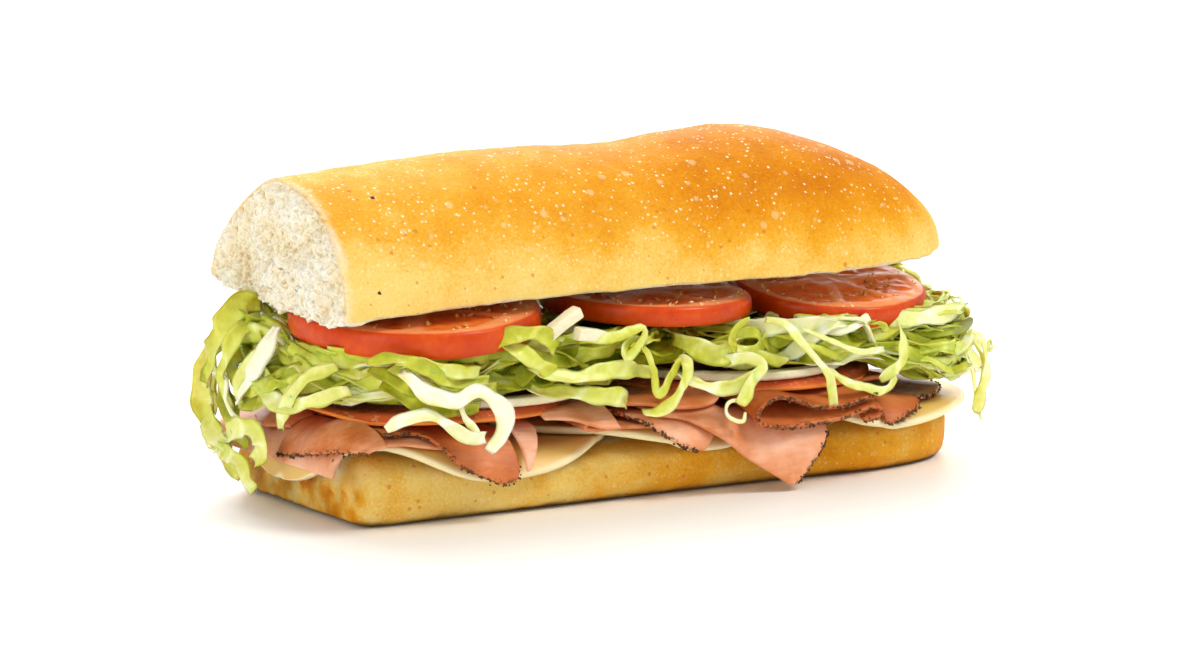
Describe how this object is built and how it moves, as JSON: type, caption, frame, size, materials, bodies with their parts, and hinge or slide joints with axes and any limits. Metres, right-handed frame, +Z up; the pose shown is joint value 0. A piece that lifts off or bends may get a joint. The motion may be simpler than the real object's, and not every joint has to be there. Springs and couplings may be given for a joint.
{
  "type": "submarine sandwich",
  "caption": "Half of a long filled bread roll, cut across at one end, with ham, cheese, onion, shredded lettuce and tomato between its halves.",
  "frame": {"origin": "on the table under the middle of the loaf, at the centre of the lower bread's flat underside", "axes": "+X along the loaf towards its round end, with the cut end at -X; -Y the side that the fillings spill out of; +Z up"},
  "size_m": [0.2182, 0.0924, 0.0874],
  "materials": {
    "crust": "baked bread: matt golden crust over cream crumb",
    "cheese": "pale sliced cheese, slightly waxy",
    "ham": "moist pink ham with a peppered brown rim",
    "cured_meat": "thin cured meat, moist",
    "onion": "raw white onion, slightly clear",
    "tomato": "cut raw tomato, wet",
    "lettuce": "shredded pale green lettuce, slightly shiny"
  },
  "bodies": {
    "root": {"bun_top": "crust", "bun_bottom": "crust", "cheese_left": "cheese", "cheese_middle": "cheese", "cheese_right": "cheese", "ham_band": "ham", "ham_tongue": "ham", "ham_end_fold": "ham", "ham_end_roll": "ham", "ham_pink": "ham", "ham_fold_low": "ham", "ham_fold_top": "ham", "ham_slope": "ham", "ham_cover": "ham", "ham_flap": "ham", "ham_roll": "ham", "ham_side": "ham", "ham_end": "ham", "ham_upper": "ham", "cured_left": "cured_meat", "cured_right": "cured_meat", "onion_left": "onion", "onion_right": "onion", "onion_chip_left": "onion", "onion_chip_right": "onion", "tomato_left": "tomato", "tomato_middle": "tomato", "tomato_right": "tomato", "lettuce": "lettuce"}
  },
  "joints": []
}
